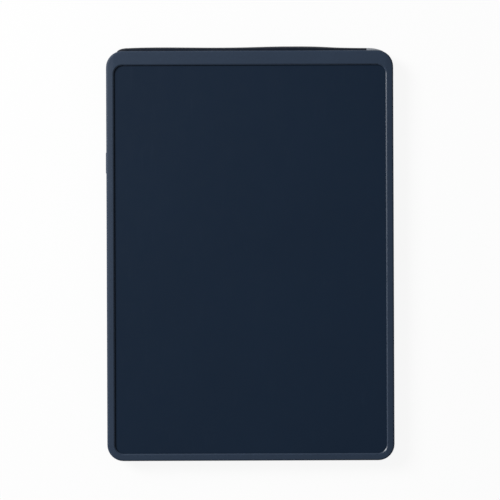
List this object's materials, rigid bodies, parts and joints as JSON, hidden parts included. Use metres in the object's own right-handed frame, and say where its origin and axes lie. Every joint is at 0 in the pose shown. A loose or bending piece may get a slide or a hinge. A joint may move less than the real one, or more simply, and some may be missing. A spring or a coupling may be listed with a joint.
{
  "type": "lcd writing tablet",
  "caption": "Thin rectangular writing tablet with a recessed dark film in a slate frame, a stylus docked along its top edge and an erase key on its side.",
  "frame": {"origin": "the middle of the case in plan, on the plane that its feet stand on", "axes": "+Z out of the writing surface, +Y towards the edge that holds the stylus, +X to the writer's right"},
  "size_m": [0.1565, 0.2253, 0.0096],
  "materials": {
    "case": "fine matte grain",
    "film": "smooth with a soft sheen",
    "dark_plastic": "plain matte",
    "tape": "adhesive film",
    "flex": "amber film over printed tracks",
    "board": "green lacquered board",
    "ceramic_brown": "fired body with tinned ends",
    "spring_sheet": "bright spring sheet",
    "screw_steel": "zinc plated",
    "cell_steel": "bright rolled can",
    "key": "fine matte",
    "foot_rubber": "dull",
    "magnet": "nickel plated",
    "stylus": "satin",
    "nib": "satin"
  },
  "bodies": {
    "case": {"front_frame": "case", "rear_cover": "case", "backing_plate": "dark_plastic", "writing_film": "film", "film_tape": "tape", "film_flex_tail": "flex", "main_board": "board", "erase_switch": "dark_plastic", "driver_chip": "dark_plastic", "boost_inductor": "dark_plastic", "capacitor_1": "ceramic_brown", "capacitor_2": "ceramic_brown", "capacitor_3": "ceramic_brown", "flex_connector": "dark_plastic", "cell_contact_negative": "spring_sheet", "cell_contact_positive": "spring_sheet", "board_screw_1": "screw_steel", "board_screw_2": "screw_steel", "board_screw_3": "screw_steel", "coin_cell": "cell_steel", "case_screw_1": "screw_steel", "case_screw_2": "screw_steel", "case_screw_3": "screw_steel", "case_screw_4": "screw_steel", "case_screw_5": "screw_steel", "case_screw_6": "screw_steel", "foot_1": "foot_rubber", "foot_2": "foot_rubber", "foot_3": "foot_rubber", "foot_4": "foot_rubber", "dock_magnet_left": "magnet", "dock_magnet_right": "magnet"},
    "stylus": {"stylus_barrel": "stylus", "stylus_end_cap": "stylus", "stylus_core": "screw_steel", "stylus_nib": "nib"},
    "key": {"erase_key": "key"},
    "plunger": {"erase_switch_plunger": "dark_plastic"},
    "lock": {"lock_slider": "key", "lock_keeper": "dark_plastic", "lock_wiper": "spring_sheet"},
    "cap": {"battery_cap": "case"}
  },
  "joints": [
    {"name": "stylus_pull", "type": "slide", "parent": "case", "child": "stylus", "axis": [0, 1, 0], "range_m": [0, 0.024]},
    {"name": "erase_press", "type": "slide", "parent": "case", "child": "key", "axis": [1, 0, 0], "range_m": [0, 0.0004], "stiffness_N_per_m": 1000, "springref_m": -0.0006},
    {"name": "plunger_press", "type": "slide", "parent": "case", "child": "plunger", "axis": [1, 0, 0], "range_m": [0, 0.0004]},
    {"name": "lock_slide", "type": "slide", "parent": "case", "child": "lock", "axis": [0, 1, 0], "range_m": [0, 0.003]},
    {"name": "cap_turn", "type": "hinge", "parent": "case", "child": "cap", "pos_m": [-0.0305, 0.06675, 0.0012], "axis": [0, 0, -1], "range_deg": [0, 40]}
  ],
  "couplings": [
    {"joint": "plunger_press", "follows": "erase_press", "ratio": 1}
  ]
}
